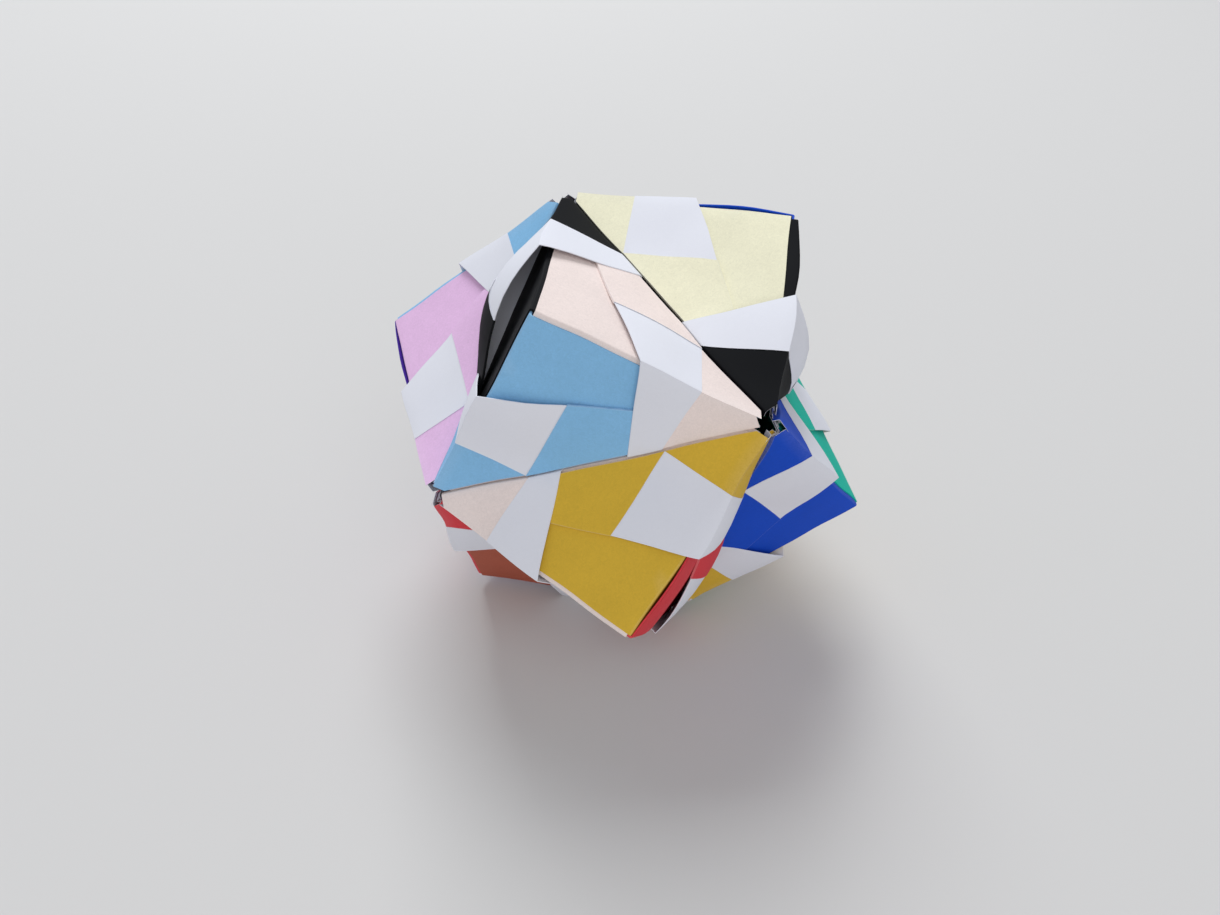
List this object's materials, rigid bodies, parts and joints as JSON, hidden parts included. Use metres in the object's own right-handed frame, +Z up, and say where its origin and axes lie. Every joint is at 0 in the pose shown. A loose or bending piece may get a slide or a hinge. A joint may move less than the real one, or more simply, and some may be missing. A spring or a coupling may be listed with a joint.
{
  "type": "kusudama paper ball",
  "caption": "Ball of interlocked folded-paper units with right-angled points and white-striped pockets, standing on its lower points.",
  "frame": {"origin": "middle of the footprint, on the surface that the ball stands on", "axes": "+Z up, +X to the right along the line between two opposite four-way corners, +Y away from the front"},
  "size_m": [0.058, 0.0544, 0.0544],
  "materials": {
    "peach_paper": "matt craft paper, coloured on one side and white on the other",
    "black_paper": "matt craft paper, coloured on one side and white on the other",
    "sky_blue_paper": "matt craft paper, coloured on one side and white on the other",
    "cream_paper": "matt craft paper, coloured on one side and white on the other",
    "royal_blue_paper": "matt craft paper, coloured on one side and white on the other",
    "green_paper": "matt craft paper, coloured on one side and white on the other",
    "mustard_paper": "matt craft paper, coloured on one side and white on the other",
    "red_paper": "matt craft paper, coloured on one side and white on the other",
    "pink_paper": "matt craft paper, coloured on one side and white on the other",
    "purple_paper": "matt craft paper, coloured on one side and white on the other",
    "terracotta_paper": "matt craft paper, coloured on one side and white on the other",
    "orange_paper": "matt craft paper, coloured on one side and white on the other"
  },
  "bodies": {
    "root": {"peach_unit": "peach_paper", "black_unit": "black_paper", "sky_blue_unit": "sky_blue_paper", "cream_unit": "cream_paper", "royal_blue_unit": "royal_blue_paper", "green_unit": "green_paper", "mustard_unit": "mustard_paper", "red_unit": "red_paper", "pink_unit": "pink_paper", "purple_unit": "purple_paper", "terracotta_unit": "terracotta_paper", "orange_unit": "orange_paper"}
  },
  "joints": []
}
